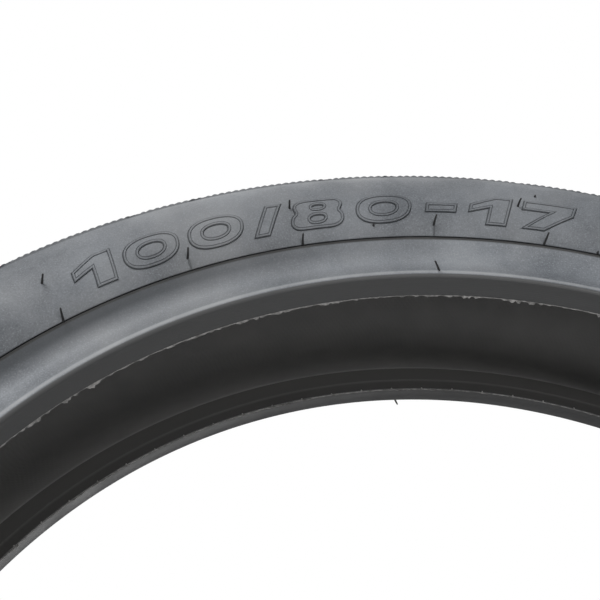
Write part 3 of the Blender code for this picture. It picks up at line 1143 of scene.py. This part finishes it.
def flash_rubber():
    """The torn edge of the toes, paler than the bead."""
    shader = Shader("flash_rubber", 0.7)
    painted_light_mask = shader.spread(shader.noise(2.5, 4.0), 0.35, 0.65)
    colour = shader.blend(painted_light_mask, grey(0.15, 0.02), grey(0.42, 0.02))
    return shader.finish(colour, normal=shader.bump(shader.noise(0.5), 0.08, 0.6))


def filler_rubber():
    """Dull black rubber inside the tyre."""
    shader = Shader("filler_rubber", 0.75)
    colour = shader.blend(shader.noise(4.0, 4.0), grey(0.03), grey(0.055, 0.03))
    return shader.finish(colour, normal=shader.bump(shader.noise(0.8), 0.1, 0.6))


WEFT_SPACING = 1.1


def cord_fabric(name, round_turn, skew, weft):
    """Cords in rubber, from how fast their phase grows round and across, and how high the weft stands."""
    shader = Shader(name, 0.8)
    turn, across = shader.turn(), shader.parts()[1]
    phase = shader.math("MULTIPLY_ADD", across, skew, shader.math("MULTIPLY", turn, round_turn))
    cords = shader.spread(shader.math("SINE", phase), -0.7, 0.9)
    height = shader.math("MULTIPLY_ADD", shader.stripes(shader.radius(), WEFT_SPACING), weft, cords)
    thread = shader.blend(shader.noise(3.0), (0.30, 0.21, 0.12, 1.0), (0.40, 0.31, 0.19, 1.0))
    colour = shader.blend(shader.spread(height, 0.0, 0.8), (0.05, 0.045, 0.04, 1.0), thread)
    return shader.finish(colour, normal=shader.bump(height, 0.25, 0.8))


STRAND_SPACING = 1.0


def bead_wire():
    """Bronze-coated steel strands side by side."""
    shader = Shader("bead_wire", 0.3, metallic=1.0)
    strands = shader.math("ABSOLUTE", shader.stripes(shader.parts()[1], STRAND_SPACING))
    bronze = shader.blend(shader.noise(9.0), (0.50, 0.38, 0.22, 1.0), (0.62, 0.52, 0.34, 1.0))
    colour = shader.blend(shader.spread(strands, 0.0, 0.4), (0.10, 0.08, 0.06, 1.0), bronze)
    return shader.finish(colour, normal=shader.bump(strands, 0.3, 0.9))


# ---- Putting the tyre together ----


def build_outside():
    sidewall_look, tread_look, bead_look = sidewall_rubber(), tread_rubber(), bead_rubber()
    tread().make("tread", tread_look, ["tread_cap"], "tread_rubber")
    flash_look, hair_look = flash_rubber(), hair_rubber()
    for side, turn, seed in (("right", None, 3), ("left", HALF_TURN, 4)):
        pieces = (
            (sidewall(), "sidewall_%s_skin", sidewall_look, ["sidewall_" + side], "sidewall_rubber"),
            (rim_strip(), "rim_strip_%s_skin", bead_look, ["rim_strip_" + side], "bead_rubber"),
            (toe_flash(seed, side == "left"), "toe_flash_%s", flash_look, [], "bead_rubber"),
            (vent_hairs(), "vent_hairs_%s", hair_look, [], "sidewall_rubber"),
            (vent_ridges(), "vent_ridges_%s", sidewall_look, [], "sidewall_rubber"),
        )
        for piece, name, look, nodes, slot in pieces:
            piece.make(name % side, look, nodes, slot, turn)


def build_inside():
    liner().make("liner_skin", liner_rubber(), ["inner_liner"], "liner_rubber")
    filler = filler_rubber()
    casing = cord_fabric("casing_cord", 900.0, 1.5, 0.1)
    crossed = cord_fabric("crossed_casing_cord", 900.0, -1.5, 0.1)
    woven = cord_fabric("chafer_weave", 1100.0, 0.0, 1.0)
    wire = bead_wire()
    layers = [("tread_base", filler, "filler_rubber")]
    for ply in ("breaker_ply_", "casing_ply_"):
        layers += [(ply + "outer", casing, "nylon_cord"), (ply + "inner", crossed, "nylon_cord")]
    for side in ("left", "right"):
        layers += [
            ("shoulder_wedge_" + side, filler, "filler_rubber"),
            ("chafer_" + side, woven, "chafer_fabric"),
            ("bead_wrap_" + side, woven, "chafer_fabric"),
            ("bead_core_" + side, wire, "bead_wire"),
            ("bead_filler_" + side, filler, "filler_rubber"),
        ]
    for node, look, slot in layers:
        round_layer(node).make(node + "_round", look, [node], slot)


# ---- The studio ----

CAMERA_PLACE = (-0.0971, -0.3180, -0.0794)  # metres
CAMERA_PITCH, CAMERA_YAW, CAMERA_ROLL = 45.10, 8.72, -6.49  # degrees
CAMERA_LENS = 61.33
FLOOR_SIZE = 6.0
TYRE_TOP = (0.0, 0.0, 0.2)
LIGHTS = (  # name, place and target in metres, size, watts
    ("key", (-0.65, -1.3, 0.8), TYRE_TOP, 0.8, 14.0),
    ("back", (0.6, 1.5, 0.9), TYRE_TOP, 1.2, 11.0),
    ("low", (0.25, -1.0, -0.2), (0.0, 0.0, 0.22), 0.6, 3.2),
    ("top", (0.0, 0.0, 2.0), TYRE_TOP, 1.6, 8.0),
)
DIM_SURROUNDINGS = 0.16


def camera():
    pitch, yaw, roll = (math.radians(a) for a in (CAMERA_PITCH, CAMERA_YAW, CAMERA_ROLL))
    ahead = Vector((math.sin(yaw) * math.cos(pitch), math.cos(yaw) * math.cos(pitch), math.sin(pitch)))
    level = Vector((math.cos(yaw), -math.sin(yaw), 0.0))
    above = level.cross(ahead)
    right = level * math.cos(roll) + above * math.sin(roll)
    up = above * math.cos(roll) - level * math.sin(roll)
    data = bpy.data.cameras.new("camera")
    data.lens = CAMERA_LENS
    data.clip_start = 0.01
    obj = bpy.data.objects.new("camera", data)
    bpy.context.scene.collection.objects.link(obj)
    turn = Matrix((right, up, -ahead)).transposed().to_4x4()
    obj.matrix_world = Matrix.Translation(CAMERA_PLACE) @ turn
    bpy.context.scene.camera = obj


def area_light(name, place_at, target, size, power):
    """A round lamp that faces its target."""
    data = bpy.data.lights.new(name, "AREA")
    data.shape = "DISK"
    data.size = size
    data.energy = power
    obj = bpy.data.objects.new(name, data)
    bpy.context.scene.collection.objects.link(obj)
    obj.location = place_at
    obj.rotation_euler = (Vector(target) - Vector(place_at)).to_track_quat("-Z", "Y").to_euler()


def studio():
    bpy.context.scene.view_settings.view_transform = "Standard"
    for light in LIGHTS:
        area_light(*light)
    surroundings()
    floor()


def surroundings():
    """White behind the tyre, but dim as light on it."""
    world = bpy.data.worlds.new("studio")
    bpy.context.scene.world = world
    world.use_nodes = True
    tree = world.node_tree
    shown = tree.nodes["Background"]
    shown.inputs["Color"].default_value = grey(1.0)
    lit = tree.nodes.new("ShaderNodeBackground")
    lit.inputs["Strength"].default_value = DIM_SURROUNDINGS
    rays = tree.nodes.new("ShaderNodeLightPath")
    choose = tree.nodes.new("ShaderNodeMixShader")
    tree.links.new(rays.outputs["Is Camera Ray"], choose.inputs[0])
    tree.links.new(lit.outputs[0], choose.inputs[1])
    tree.links.new(shown.outputs[0], choose.inputs[2])
    tree.links.new(choose.outputs[0], tree.nodes["World Output"].inputs["Surface"])


def floor():
    shader = Shader("studio_floor", 0.8)
    colour = shader.blend(shader.noise(300.0), grey(0.74), grey(0.78))
    mesh = bpy.data.meshes.new("floor")
    half = FLOOR_SIZE / 2
    corners = ((-half, -half), (half, -half), (half, half), (-half, half))
    mesh.from_pydata([(x, y, cad_bounds[0].z) for x, y in corners], [], [(0, 1, 2, 3)])
    mesh.materials.append(shader.finish(colour))
    obj = bpy.data.objects.new("floor", mesh)
    bpy.context.scene.collection.objects.link(obj)


def main():
    build_outside()
    build_inside()
    camera()
    studio()


main()
